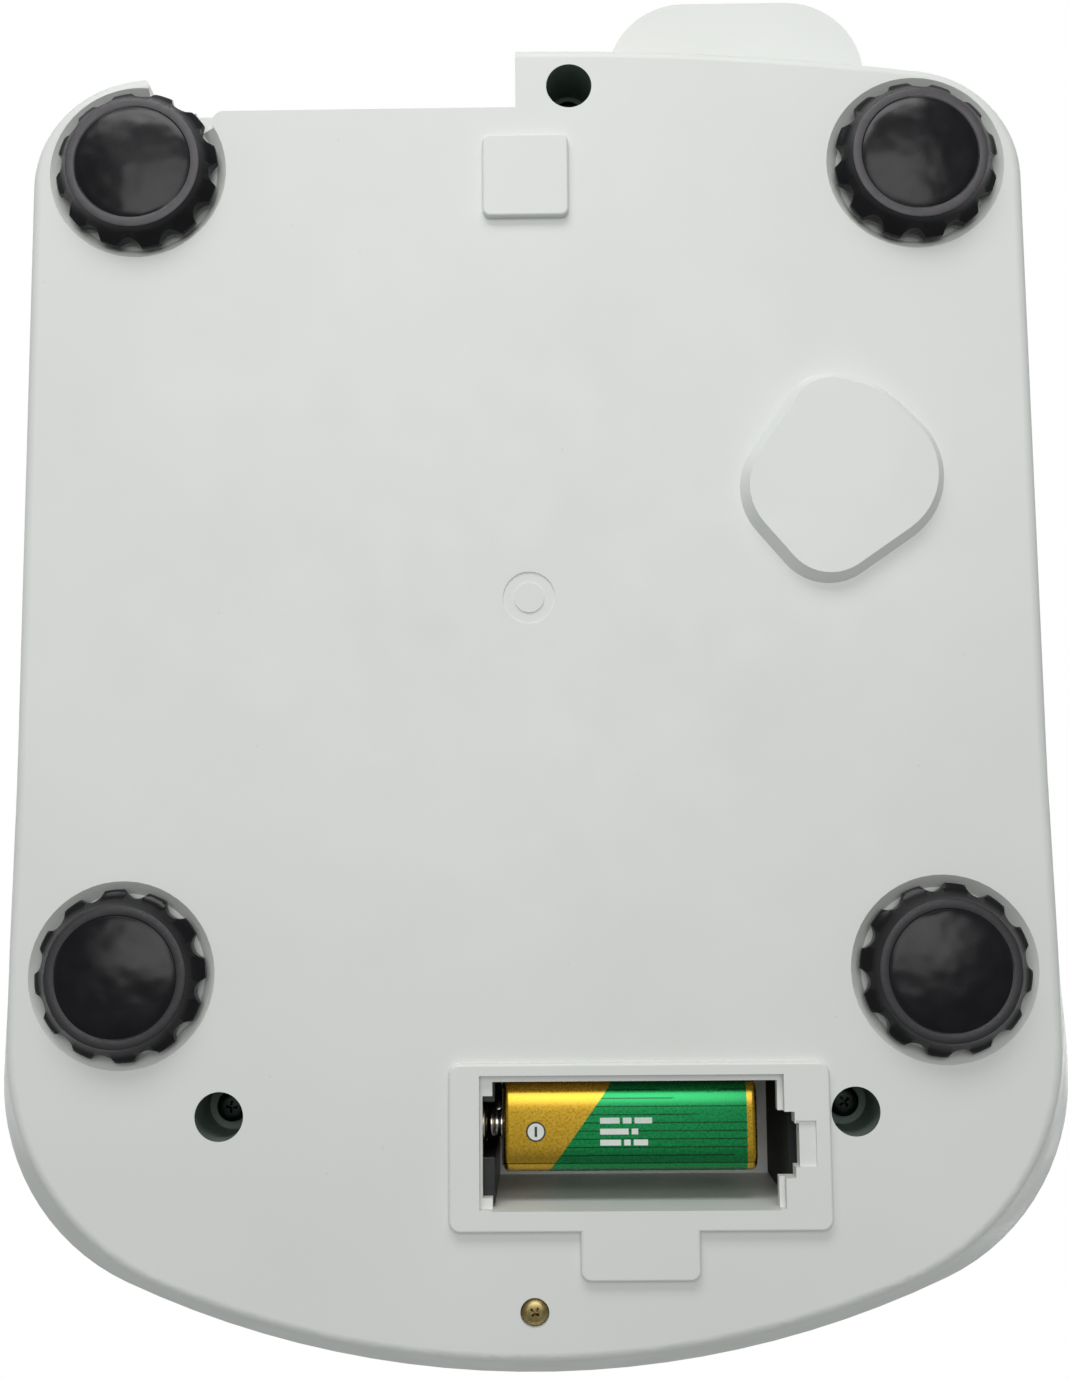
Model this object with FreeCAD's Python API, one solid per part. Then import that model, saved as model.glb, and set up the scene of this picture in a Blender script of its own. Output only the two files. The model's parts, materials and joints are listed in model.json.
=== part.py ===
"""Compact bench scale on four levelling feet.

The housing is a base shell and a top shell. A single-point load cell stands on the base and carries
a platform, on which a steel pan lies. A sloping panel at the front holds the display and four keys,
and a 9 V block battery lies in a bay that opens underneath.

Millimetres. +Z is up, -Y is the front, +X is the user's right. The origin is on the floor, under
the middle of the whole scale.
"""
import FreeCAD, Part
import math
import os

V = FreeCAD.Vector
UP = V(0, 0, 1)

# ---- driving dimensions ----
BASE_Z = 5.5            # underside of the base shell above the floor
PARTING_Z = 25.5        # joint between the base shell and the top shell
PLATEAU_Z = 55.5        # flat top of the top shell
FLOOR = 2.4             # thickness of the base shell's floor
WALL = 2.3              # thickness of the side walls and of the top shell
SCREW_JOINT_Z = 22.0    # where the screw columns of the two shells meet

FOOT_X = 75.0
FOOT_YS = {"front": -60.8, "rear": 92.4}
FOOT_SIDES = {"left": -1, "right": 1}
DISH_R = 17.0           # rim of the round dish that each foot stands in
DISH_FLOOR_R = 14.8
DISH_DEPTH = 2.6
KNOB_LOBES = 12
KNOB_R = 15.65          # over the lobes of the knob's grip
LOBE_CUT_R = 2.7
LOBE_CUT_DEPTH = 1.5
KNOB_TURNS = {("front", "left"): 22.8, ("front", "right"): 10.2,
              ("rear", "left"): 4.2, ("rear", "right"): 4.0}     # degrees that each knob is turned by
STUD_R = 3.0
RUN = 0.05              # radial clearance of a running fit

DEEP_SCREWS = [(-58.05, -85.9), (56.8, -86.1), (-8.5, 108.8)]
DEEP_BORE_R = 4.4
DEEP_SEAT_Z = 18.5
FRONT_SCREW = (0.0, -120.5)

NOTCH_X = (1.9, 73.2)   # rear recess for the connectors
NOTCH_Y = 104.6
NOTCH_TOP_Z = 31.5
NOTCH_END_R = 2.0       # round end of the outer wall beside the recess
NOTCH_END_Y = 109.8
DISH_CORNER_R = 2.2

BATTERY_X = (-40.8, 5.5)
BATTERY_Y = (-97.6, -80.6)
BATTERY_Z = (9.0, 35.2)
BATTERY_PLATE = 0.3     # how far the plate that carries the terminals stands out
TERMINAL_TALL = 2.5
SNAP_PITCH = 12.7       # between the two terminals
BAY_X = (-49.5, 13.2)
BAY_Y = (-102.7, -80.3)
BAY_TOP_Z = 36.3
BAY_WALL = 2.0
CONTACT_FACE_X = 7.0    # face of the contact block's two shoulders
CONTACT_SEAT_X = 9.4    # floor of the channel between them, which the terminals slide in
CONTACT_CHANNEL = (-94.0, -84.2)
FOAM = 3.4              # thickness of the foam on the bay's end wall

PANEL_SLOPE = 21.0
PANEL_Y = -136.2        # front edge of the sloping panel
PANEL_Z = 35.5
WINDOW = (36.0, 37.0, 13.2)      # half width, middle up the slope, half length
KEY_XS = (-34.0, -14.0, 14.0, 34.0)
KEY_T = 13.0
BOARD_N = (-8.2, -6.6)
BOARD_SCREWS = [(x, t) for x in (-39.5, 39.5) for t in (21.0, 47.0)]
SOCKET_TALL = 4.0       # the sockets on the board that the leads end in

LEVEL_X = -43.5
LEVEL_Y = 124.0
TAB_TOP_Z = 45.0

PAN_X = 91.0
PAN_Y = (-68.0, 112.0)
PAN_TOP_Z = 60.5
PAN_RIM_Z = 57.3
PAN_SHEET = 1.0
PAD_Z = (57.4, 59.48)   # the soft pads between the posts and the pan
POST_X = 55.0
POST_YS = (-28.0, 72.0)
CELL_X = 7.5
CELL_Y = (-18.0, 62.0)
CELL_Z = (22.0, 37.0)
CELL_BASE_SCREWS = (-12.0, -2.0)
CELL_CARRIER_SCREWS = (46.0, 56.0)
CARRIER_Z = (39.0, 43.0)


# ---- small builders ----
def box(xs, ys, zs):
    return Part.makeBox(xs[1] - xs[0], ys[1] - ys[0], zs[1] - zs[0], V(xs[0], ys[0], zs[0]))


def disc(x, y, r, zs):
    return Part.makeCylinder(r, zs[1] - zs[0], V(x, y, zs[0]))


def cone(x, y, rs, zs):
    return Part.makeCone(rs[0], rs[1], zs[1] - zs[0], V(x, y, zs[0]))


def upright(shape):
    """The edges that run straight up."""
    boxes = [(e, e.BoundBox) for e in shape.Edges]
    return [e for e, b in boxes if b.ZLength > 0.01 and b.XLength < 0.01 and b.YLength < 0.01]


def round_box(xs, ys, zs, r):
    shape = box(xs, ys, zs)
    return shape.makeFillet(r, upright(shape))


def end_edges(shape, z):
    return [e for e in shape.Edges if abs(e.BoundBox.ZMin - z) < 1e-4 and abs(e.BoundBox.ZMax - z) < 1e-4]


def fuse(shapes):
    return shapes[0].multiFuse(shapes[1:]) if len(shapes) > 1 else shapes[0]


def spin(points, x, y):
    """A turned solid from its profile of (radius, height) points; a third value bulges the run."""
    edges = []
    for a, b in zip(points, points[1:] + points[:1]):
        start, end = V(a[0], 0, a[1]), V(b[0], 0, b[1])
        if len(a) > 2:
            run = end - start
            middle = (start + end) * 0.5 + V(run.z, 0, -run.x).normalize() * a[2]
            edges.append(Part.Arc(start, middle, end).toShape())
        else:
            edges.append(Part.LineSegment(start, end).toShape())
    solid = Part.Face(Part.Wire(edges)).revolve(V(0, 0, 0), UP, 360)
    solid.translate(V(x, y, 0))
    return solid


def on_panel(shape):
    """Moves a shape drawn flat, with y up the slope and z out of it, on to the sloping panel."""
    moved = shape.copy()
    moved.rotate(V(0, 0, 0), V(1, 0, 0), PANEL_SLOPE)
    moved.translate(V(0, PANEL_Y, PANEL_Z))
    return moved


def panel_point(x, t, n):
    slope = math.radians(PANEL_SLOPE)
    y = PANEL_Y + t * math.cos(slope) - n * math.sin(slope)
    return V(x, y, PANEL_Z + t * math.sin(slope) + n * math.cos(slope))


def lead(points, r):
    """A round lead along straight runs that are joined by tangent arcs."""
    edges = []
    here = points[0]
    for before, corner, after in zip(points, points[1:], points[2:]):
        to_corner = corner - before
        away = after - corner
        trim = 0.45 * min(to_corner.Length, away.Length)
        start = corner - V(to_corner).normalize() * trim
        end = corner + V(away).normalize() * trim
        turn = to_corner.getAngle(away)
        radius = trim / math.tan(turn / 2)
        inward = (V(away).normalize() - V(to_corner).normalize()).normalize()
        middle = corner + inward * (radius / math.cos(turn / 2) - radius)
        edges.append(Part.LineSegment(here, start).toShape())
        edges.append(Part.Arc(start, middle, end).toShape())
        here = end
    edges.append(Part.LineSegment(here, points[-1]).toShape())
    path = Part.Wire(edges)
    section = Part.Wire(Part.makeCircle(r, points[0], points[1] - points[0]))
    return path.makePipeShell([section], True, False)


def save(node, solids):
    """Writes one node: a single solid, or a group of separate ones."""
    shape = solids[0] if len(solids) == 1 else Part.makeCompound(solids)
    for solid in shape.Solids:
        if not solid.isValid():
            print("not valid:", node)
    print(node, len(shape.Solids), round(shape.Volume, 1))
    shape.exportStep("parts/" + node + ".step")


# ---- the housing's outline ----
def arc(cx, cy, r, a0, a1, z):
    points = [V(cx + r * math.cos(a), cy + r * math.sin(a), z) for a in (a0, (a0 + a1) / 2, a1)]
    return Part.Arc(*points).toShape()


def outline(z, half, shoulder, front, front_r, shoulder_r, rear=116.8, inset=0.0):
    """Straight sides, a bowed rear, wide shoulders and a rounded front."""
    corner_r = 21.7
    corner_y = rear - 26.7
    side_y = -14.2
    corner_x = half - corner_r
    depth = rear - corner_y
    rear_r = (depth ** 2 + corner_x ** 2 - corner_r ** 2) / (2 * (depth - corner_r))
    shoulder_x = shoulder - shoulder_r
    front_y = front + front_r
    shoulder_y = front_y - math.sqrt((front_r - shoulder_r) ** 2 - shoulder_x ** 2)
    turn = math.atan2(shoulder_y - front_y, shoulder_x)
    rear_turn = math.atan2(corner_y - (rear - rear_r), corner_x)
    reach = 0.45 * (side_y - shoulder_y)

    def flank(side):
        wide = side * (shoulder - inset)
        narrow = side * (half - inset)
        poles = [V(wide, shoulder_y, z), V(wide, shoulder_y + reach, z), V(narrow, side_y - reach, z),
                 V(narrow, side_y, z)]
        curve = Part.BezierCurve()
        curve.setPoles(poles if side > 0 else poles[::-1])
        return curve.toShape()

    def side_line(side):
        ends = [V(side * (half - inset), side_y, z), V(side * (half - inset), corner_y, z)]
        return Part.LineSegment(*(ends if side > 0 else ends[::-1])).toShape()

    return Part.Wire([
        arc(shoulder_x, shoulder_y, shoulder_r - inset, turn, 0, z), flank(1), side_line(1),
        arc(corner_x, corner_y, corner_r - inset, 0, rear_turn, z),
        arc(0, rear - rear_r, rear_r - inset, rear_turn, math.pi - rear_turn, z),
        arc(-corner_x, corner_y, corner_r - inset, math.pi - rear_turn, math.pi, z),
        side_line(-1), flank(-1),
        arc(-shoulder_x, shoulder_y, shoulder_r - inset, math.pi, math.pi - turn, z),
        arc(0, front_y, front_r - inset, math.pi - turn, 2 * math.pi + turn, z)])


def low_outline(z, inset=0.0):
    return outline(z, 95.6, 95.6, -128.8, 176.6, 46.6, inset=inset)


def parting_outline(z, inset=0.0):
    return outline(z, 96.3, 103.0, -137.0, 190.0, 42.0, inset=inset)


def top_outline(z, inset=0.0):
    return outline(z, 94.3, 99.0, -132.8, 190.0, 42.0, rear=115.8, inset=inset)


def loft(*wires):
    return Part.makeLoft(list(wires), True, False)


# ---- base shell ----
def screw_column(x, y, r):
    return disc(x, y, r, (BASE_Z, SCREW_JOINT_Z))


def feet():
    """Each foot's place by name, with its X and Y."""
    return [(depth, side, FOOT_X * sign, y)
            for depth, y in FOOT_YS.items() for side, sign in FOOT_SIDES.items()]


def notch(grow=0.0, top=NOTCH_TOP_Z):
    """The rear recess; grown, it is the recess with its walls."""
    return box((NOTCH_X[0] - grow, NOTCH_X[1] + grow), (NOTCH_Y - grow, 140.0), (0.0, top + grow))


def notch_corner():
    """What rounds the free end of the outer wall, beside the recess."""
    x = NOTCH_X[1] + NOTCH_END_R
    corner = box((NOTCH_X[1] - 1.0, x), (NOTCH_END_Y, 118.0), (0.0, NOTCH_TOP_Z))
    return corner.cut(disc(x, NOTCH_END_Y, NOTCH_END_R, (0.0, NOTCH_TOP_Z)))


def dish_corner():
    """What rounds the point of floor between the recess and the dish beside it."""
    r = DISH_CORNER_R
    y = NOTCH_Y - r
    foot_y = FOOT_YS["rear"]
    x = FOOT_X - math.sqrt((DISH_R + r) ** 2 - (y - foot_y) ** 2)
    touch_y = foot_y + (y - foot_y) * DISH_R / (DISH_R + r)
    zs = (BASE_Z - 1.0, BASE_Z + DISH_DEPTH)
    return box((x, x + 2.5 * r), (touch_y, NOTCH_Y + 1.0), zs).cut(disc(x, y, r, zs))


def triangle_boss():
    """A raised pad with three wide rounded corners and sloping sides."""
    corners = [(-84.0, 29.3, 13.0), (-54.5, 9.0, 9.0), (-38.6, 28.0, 11.0), (-54.0, 50.5, 7.5),
               (-66.0, 47.0, 13.0)]      # x, y and radius

    def ring(grow, z):
        edges = []
        count = len(corners)
        ends = []
        for i, (x, y, r) in enumerate(corners):
            here = V(x, y, z)
            back = V(corners[i - 1][0], corners[i - 1][1], z) - here
            ahead = V(corners[(i + 1) % count][0], corners[(i + 1) % count][1], z) - here
            turn = math.pi - back.getAngle(ahead)
            trim = r * math.tan(turn / 2)
            start = here + back.normalize() * trim
            end = here + ahead.normalize() * trim
            inward = (back + ahead).normalize()
            middle = here + inward * (r / math.cos(turn / 2) - r)
            ends.append((start, middle, end))
        for i, (start, middle, end) in enumerate(ends):
            edges.append(Part.Arc(start, middle, end).toShape())
            edges.append(Part.LineSegment(end, ends[(i + 1) % count][0]).toShape())
        wire = Part.Wire(edges)
        return wire.makeOffset2D(grow) if grow else wire

    return loft(ring(0.0, BASE_Z - 2.5), ring(1.6, BASE_Z))


def base_shell():
    outer = loft(low_outline(BASE_Z), parting_outline(PARTING_Z))
    outer = outer.makeFillet(2.2, end_edges(outer, BASE_Z))
    cavity = loft(low_outline(BASE_Z + FLOOR, WALL + 0.8), parting_outline(PARTING_Z, WALL))

    islands = [screw_column(x, y, 6.4) for x, y in DEEP_SCREWS]
    islands += [screw_column(FRONT_SCREW[0], FRONT_SCREW[1], 4.5)]
    for depth, side, x, y in feet():
        islands.append(cone(x, y, (DISH_R + 2.0, DISH_FLOOR_R + 2.0), (BASE_Z, BASE_Z + DISH_DEPTH + 2.0)))
        islands.append(disc(x, y, 7.5, (BASE_Z, SCREW_JOINT_Z - 1.0)))
    bay_zs = (BASE_Z, BAY_TOP_Z + BAY_WALL)
    bay_shell = box((BAY_X[0] - BAY_WALL, BAY_X[1] + BAY_WALL), (BAY_Y[0] - BAY_WALL, BAY_Y[1] + BAY_WALL),
                    bay_zs)
    islands.append(bay_shell)
    islands.append(notch(WALL))
    islands.append(box((-12.0, 12.0), (-22.0, 8.0), (BASE_Z, CELL_Z[0] - 2.0)))
    stops = [disc(x, y, 5.0, (BASE_Z, 34.0)) for x, y in posts()]
    islands += stops

    shell = outer.cut(cavity.cut(fuse(islands)))
    shell = fuse([shell, bay_shell] + stops)

    # raised features of the underside
    frame = round_box((-53.3, 15.2), (-106.4, -76.9), (BASE_Z - 1.5, BASE_Z + 1.0), 2.0)
    tab = round_box((-29.6, -8.3), (-114.9, -100.0), (BASE_Z - 1.5, BASE_Z + 1.0), 1.8)
    pad = round_box((-8.2, 8.3), (82.1, 98.5), (BASE_Z - 1.5, BASE_Z + 1.0), 1.5)
    raised = [s.makeFillet(0.5, end_edges(s, BASE_Z - 1.5)) for s in (frame, tab, pad)]
    shell = fuse([shell, triangle_boss()] + raised)

    # holes
    low = BASE_Z - 3.0
    holes = [notch(0.0, PARTING_Z + 1.0), notch_corner(), dish_corner()]
    for depth, side, x, y in feet():
        holes.append(cone(x, y, (DISH_R + 0.17, DISH_FLOOR_R), (BASE_Z - 0.1, BASE_Z + DISH_DEPTH)))
        holes.append(disc(x, y, STUD_R + 0.6, (BASE_Z, SCREW_JOINT_Z)))
        holes.append(disc(x, y, 5.0, (10.0, SCREW_JOINT_Z)))
    for x, y in DEEP_SCREWS:
        holes.append(disc(x, y, DEEP_BORE_R, (low, DEEP_SEAT_Z)))
        holes.append(disc(x, y, 1.8, (low, SCREW_JOINT_Z + 1.0)))
    holes.append(disc(FRONT_SCREW[0], FRONT_SCREW[1], 2.6, (low, 7.4)))
    holes.append(disc(FRONT_SCREW[0], FRONT_SCREW[1], 1.6, (low, SCREW_JOINT_Z + 1.0)))
    holes.append(box((-45.0, 9.7), (-102.5, -79.0), (low, BASE_Z + 0.3)))
    holes.append(box((-44.0, 7.4), BAY_Y, (low, BAY_TOP_Z)))
    holes.append(box((-44.0, CONTACT_SEAT_X - 0.2), (-100.7, -82.8), (low, BAY_TOP_Z)))
    holes.append(box((-46.8, -40.0), (-97.2, -85.6), (low, BAY_TOP_Z)))
    holes.append(box((-47.6, -40.0), (-95.3, -87.7), (low, BAY_TOP_Z)))
    holes.append(box((-50.6, -47.0), (-95.2, -87.2), (low, BASE_Z - 0.9)))
    holes.append(box(BAY_X, BAY_Y, (BASE_Z + FLOOR, BAY_TOP_Z)))
    holes.append(box((BAY_X[1] - 1.0, BAY_X[1] + 3.0), (-93.0, -87.0), (22.0, 26.0)))
    for y in CELL_BASE_SCREWS:
        holes.append(disc(0, y, 2.05, (9.5, 21.0)))
    holes += [disc(x, y, 2.05, (22.0, 35.0)) for x, y in posts()]
    holes.append(Part.makeCylinder(4.3, 8.0, V(32.0, NOTCH_Y - 5.0, 17.0), V(0, 1, 0)))
    gate = disc(0, 8.3, 4.9, (low, BASE_Z + 0.25)).cut(disc(0, 8.3, 2.8, (low, BASE_Z + 0.25)))
    holes.append(gate)
    return shell.cut(fuse(holes))


# ---- top shell ----
def above_panel(depth=0.0):
    return on_panel(box((-160.0, 160.0), (-60.0, 400.0), (-depth, 200.0)))


def level_tab(inset, zs):
    shape = box((-70.0 + inset, -17.0 - inset), (98.0, 137.0 - inset), zs)
    rear = [e for e in upright(shape) if e.BoundBox.YMin > 110.0]
    return shape.makeFillet(16.0 - inset, rear)


def top_shell():
    body = loft(parting_outline(PARTING_Z), top_outline(PLATEAU_Z))
    body = body.makeFillet(3.0, end_edges(body, PLATEAU_Z))
    body = body.cut(above_panel())
    tab = level_tab(0.0, (PARTING_Z, TAB_TOP_Z))
    tab = tab.makeFillet(2.0, end_edges(tab, TAB_TOP_Z))
    body = body.fuse(tab)

    cavity = loft(parting_outline(PARTING_Z, WALL), top_outline(PLATEAU_Z, WALL))
    cavity = cavity.cut(fuse([above_panel(WALL), box((-160.0, 160.0), (-160.0, 160.0),
                                                     (PLATEAU_Z - WALL, PLATEAU_Z + 1.0))]))
    cavity = cavity.fuse(level_tab(WALL, (PARTING_Z + WALL, TAB_TOP_Z - WALL)))
    ceiling = PLATEAU_Z - 1.0
    screws = DEEP_SCREWS + [FRONT_SCREW]
    islands = [disc(x, y, 4.5, (PARTING_Z - 1.0, ceiling)) for x, y in screws]
    islands.append(disc(LEVEL_X, LEVEL_Y, 10.0, (34.0, TAB_TOP_Z)))
    islands.append(notch(WALL))
    islands += [on_panel(disc(x, t, 2.3, (BOARD_N[1], 0.0))) for x, t in BOARD_SCREWS]
    shell = body.cut(cavity.cut(fuse(islands)))
    shell = fuse([shell] + [disc(x, y, 4.5, (SCREW_JOINT_Z, PARTING_Z + 1.0)) for x, y in screws])

    holes = [notch(), notch_corner()]
    holes += [disc(x, y, 1.5, (SCREW_JOINT_Z - 1.0, 34.0)) for x, y in DEEP_SCREWS]
    holes.append(disc(FRONT_SCREW[0], FRONT_SCREW[1], 1.2, (SCREW_JOINT_Z - 1.0, 34.0)))
    holes += [disc(x, y, 8.5, (PLATEAU_Z - 5.0, PLATEAU_Z + 1.0)) for x, y in posts()]
    holes.append(disc(LEVEL_X, LEVEL_Y, 8.0, (36.0, TAB_TOP_Z + 1.0)))
    half, middle, reach = WINDOW
    glass = round_box((-half - 0.1, half + 0.1), (middle - reach - 0.1, middle + reach + 0.1), (-1.7, 5.0),
                      2.6)
    sight = round_box((-31.0, 31.0), (middle - 10.0, middle + 10.0), (-8.0, 5.0), 1.5)
    holes += [on_panel(glass), on_panel(sight)]
    for x in KEY_XS:
        holes.append(on_panel(round_box((x - 7.9, x + 7.9), (KEY_T - 4.4, KEY_T + 4.4), (-5.0, 5.0), 2.4)))
    holes += [on_panel(disc(x, t, 1.0, (BOARD_N[1] - 1.0, -2.0))) for x, t in BOARD_SCREWS]
    return shell.cut(fuse(holes))


# ---- levelling feet ----
def knob(x, y, turned_by):
    """A turned body with a domed sole; twelve round scallops leave the grip's lobes."""
    body = spin([(0.0, 0.0, -0.5), (10.95, 1.0), (12.5, 1.0), (12.9, 1.4), (14.7, 4.0), (15.2, 4.0),
                 (KNOB_R, 4.6), (KNOB_R, 5.7), (KNOB_R - 0.3, 6.0), (STUD_R + RUN, 6.0),
                 (STUD_R + RUN, 5.05), (5.05, 5.05), (5.05, 2.95), (0.0, 2.95)], 0, 0)
    reach = KNOB_R - LOBE_CUT_DEPTH + LOBE_CUT_R
    scallops = []
    for i in range(KNOB_LOBES):
        angle = math.radians(turned_by + 360.0 * i / KNOB_LOBES)
        scallops.append(disc(reach * math.cos(angle), reach * math.sin(angle), LOBE_CUT_R, (3.2, 7.0)))
    body = body.cut(fuse(scallops))
    body.translate(V(x, y, 0))
    return body


def stud(x, y):
    return disc(x, y, 5.0, (3.0, 5.0)).fuse(disc(x, y, STUD_R, (4.5, 20.5)))


def insert(x, y):
    return disc(x, y, 5.0, (10.0, 18.0)).cut(disc(x, y, STUD_R + RUN, (9.0, 19.0)))


# ---- battery bay ----
def battery_body():
    shape = box(BATTERY_X, BATTERY_Y, BATTERY_Z)
    along = [e for e in shape.Edges if e.BoundBox.XLength > 1.0]
    shape = shape.makeFillet(2.2, along)
    ends = [e for e in shape.Edges if e.BoundBox.XMax < BATTERY_X[0] + 0.01]
    return shape.makeFillet(1.2, ends)


def battery_terminals():
    """The snap stud and the larger snap socket, one above the other."""
    y = (BATTERY_Y[0] + BATTERY_Y[1]) / 2
    low, high = snap_zs()
    reach = BATTERY_X[1] + BATTERY_PLATE
    along = V(1, 0, 0)
    stud_snap = Part.makeCylinder(2.8, TERMINAL_TALL, V(reach, y, low), along)
    socket = Part.makeCylinder(4.2, TERMINAL_TALL, V(reach, y, high), along)
    socket = socket.cut(Part.makeCylinder(3.1, TERMINAL_TALL, V(reach + 0.6, y, high), along))
    return [stud_snap, socket]


# ---- weighing parts ----
def posts():
    """Where the carrier's posts stand, and the overload stops below them."""
    return [(x, y) for x in (-POST_X, POST_X) for y in POST_YS]


def weighing_pan():
    """A sheet pressed into a shallow tray, rim down."""
    def tray(inset, top):
        xs = (-PAN_X + inset, PAN_X - inset)
        ys = (PAN_Y[0] + inset, PAN_Y[1] - inset)
        shape = round_box(xs, ys, (PAN_RIM_Z, top), 22.0 - inset)
        return shape.makeFillet(2.2 - inset, end_edges(shape, top))
    return tray(0.0, PAN_TOP_Z).cut(tray(PAN_SHEET, PAN_TOP_Z - PAN_SHEET))


def platform_carrier():
    xs = (-63.0, 63.0)
    ys = (POST_YS[0] - 8.0, POST_YS[1] + 8.0)
    plate = round_box(xs, ys, CARRIER_Z, 8.0)
    windows = [round_box((-14.0, 14.0), (ys[0] + 14.0, 36.0), (30.0, 50.0), 4.0)]
    windows += [round_box(side_xs, (ys[0] + 14.0, ys[1] - 14.0), (30.0, 50.0), 4.0)
                for side_xs in ((-47.0, -22.0), (22.0, 47.0))]
    columns = [disc(x, y, 6.0, (CARRIER_Z[0], PAD_Z[0])) for x, y in posts()]
    holes = [disc(0, y, 2.1, (30.0, 50.0)) for y in CELL_CARRIER_SCREWS]
    return fuse([plate] + columns).cut(fuse(windows + holes))


def load_cell():
    """A bar with the double bore that lets it bend as a parallelogram."""
    bar = box((-CELL_X, CELL_X), CELL_Y, CELL_Z)
    middle = sum(CELL_Z) / 2
    bores = [Part.makeCylinder(5.2, 20.0, V(-10.0, y, middle), V(1, 0, 0)) for y in (15.5, 28.5)]
    web = box((-10.0, 10.0), (15.5, 28.5), (middle - 2.0, middle + 2.0))
    screws = [disc(0, y, 2.1, (20.0, 40.0)) for y in CELL_BASE_SCREWS + CELL_CARRIER_SCREWS]
    return bar.cut(fuse(bores + [web] + screws))


def pan_screw(x, y, head_z, shank, r=2.0, head_r=3.6, head=2.6, up=1):
    """A pan-head screw; up is the side that its head is on."""
    zs = (head_z, head_z + head) if up > 0 else (head_z - head, head_z)
    top = disc(x, y, head_r, zs)
    rim = end_edges(top, zs[1] if up > 0 else zs[0])
    top = top.makeFillet(0.8, rim)
    shank_zs = (head_z - shank, head_z) if up > 0 else (head_z, head_z + shank)
    body = top.fuse(disc(x, y, r, shank_zs))
    slot_z = zs[1] if up > 0 else zs[0]
    arms = [box((x - a, x + a), (y - b, y + b), (slot_z - 1.0, slot_z + 1.0))
            for a, b in ((head_r * 0.55, 0.35), (0.35, head_r * 0.55))]
    return body.cut(fuse(arms))


# ---- panel parts ----
def key(x):
    cap = round_box((x - 7.5, x + 7.5), (KEY_T - 4.0, KEY_T + 4.0), (-2.8, 1.0), 2.0)
    cap = cap.makeFillet(0.5, end_edges(cap, 1.0))
    flange = round_box((x - 8.5, x + 8.5), (KEY_T - 5.0, KEY_T + 5.0), (-3.8, -2.7), 2.4)
    return on_panel(fuse([cap, flange, disc(x, KEY_T, 1.5, (-4.0, -3.5))]))


def key_switch(x):
    body = box((x - 3.0, x + 3.0), (KEY_T - 3.0, KEY_T + 3.0), (BOARD_N[1], -5.3))
    return on_panel(body.fuse(disc(x, KEY_T, 1.2, (-5.6, -4.8))))


def main_board():
    board = on_panel(round_box((-42.0, 42.0), (9.0, 50.0), BOARD_N, 1.5))
    holes = [on_panel(disc(x, t, 1.2, (-12.0, -2.0))) for x, t in BOARD_SCREWS]
    holes.append(disc(FRONT_SCREW[0], FRONT_SCREW[1], 5.5, (20.0, 50.0)))
    return board.cut(fuse(holes))


def board_components():
    """Three chips and the two sockets for the leads, under the board."""
    low = BOARD_N[0]
    plan = [((-27.0, -13.0), (12.0, 22.0), 1.6), ((30.0, 36.0), (12.0, 20.0), 1.2),
            ((10.0, 18.0), (20.0, 25.0), 1.4), ((23.0, 31.0), (39.5, 44.5), SOCKET_TALL),
            ((19.0, 27.0), (31.0, 37.5), SOCKET_TALL)]
    return [on_panel(box(xs, ts, (low - tall, low))) for xs, ts, tall in plan]


def lcd_frame():
    middle = WINDOW[1]
    outer = round_box((-35.5, 35.5), (middle - 13.5, middle + 13.5), (BOARD_N[1], -2.4), 1.0)
    return on_panel(outer.cut(box((-33.1, 33.1), (middle - 12.1, middle + 12.1), (-7.0, -2.0))))


def board_screw(x, t):
    return on_panel(pan_screw(x, t, BOARD_N[0], 4.6, r=0.95, head_r=2.3, head=1.5, up=-1))


def power_jack():
    y_face = NOTCH_Y - 0.2
    body = box((27.0, 37.0), (y_face - 14.0, NOTCH_Y - WALL), (11.0, 22.5))
    collar = Part.makeCylinder(4.2, 4.0, V(32.0, y_face - 4.0, 17.0), V(0, 1, 0))
    bore = Part.makeCylinder(2.75, 10.0, V(32.0, y_face - 9.0, 17.0), V(0, 1, 0))
    pin = Part.makeCylinder(1.0, 9.5, V(32.0, y_face - 9.6, 17.0), V(0, 1, 0))
    return body.fuse(collar).cut(bore).fuse(pin)


def bay_foam():
    """A strip of foam on the end wall, which the battery is pushed against to free it from its contacts."""
    ys = (BAY_Y[0] + 0.1, BAY_Y[1] - 0.1)
    return box((BAY_X[0], BAY_X[0] + FOAM), ys, (BASE_Z + FLOOR + 0.1, BAY_TOP_Z - 0.1))


def snap_zs():
    middle = (BATTERY_Z[0] + BATTERY_Z[1]) / 2
    return (middle - SNAP_PITCH / 2, middle + SNAP_PITCH / 2)


def contact_block():
    """The block at the terminals' end: a channel open underneath, with a round seat for each contact."""
    y = (BATTERY_Y[0] + BATTERY_Y[1]) / 2
    zs = (BASE_Z + FLOOR + 0.2, BAY_TOP_Z - 0.4)
    block = box((CONTACT_FACE_X, BAY_X[1]), (BAY_Y[0] + 0.5, BAY_Y[1] - 0.5), zs)
    channel = box((CONTACT_FACE_X - 1.0, CONTACT_SEAT_X), CONTACT_CHANNEL, (zs[0] - 1.0, zs[1] - 2.0))
    seats = [Part.makeCylinder(4.5, 1.1, V(CONTACT_SEAT_X - 0.1, y, z), V(1, 0, 0)) for z in snap_zs()]
    return block.cut(fuse([channel] + seats))


def contacts():
    y = (BATTERY_Y[0] + BATTERY_Y[1]) / 2
    return [Part.makeCylinder(4.3, 1.7, V(CONTACT_SEAT_X - 0.7, y, z), V(1, 0, 0)) for z in snap_zs()]


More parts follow.
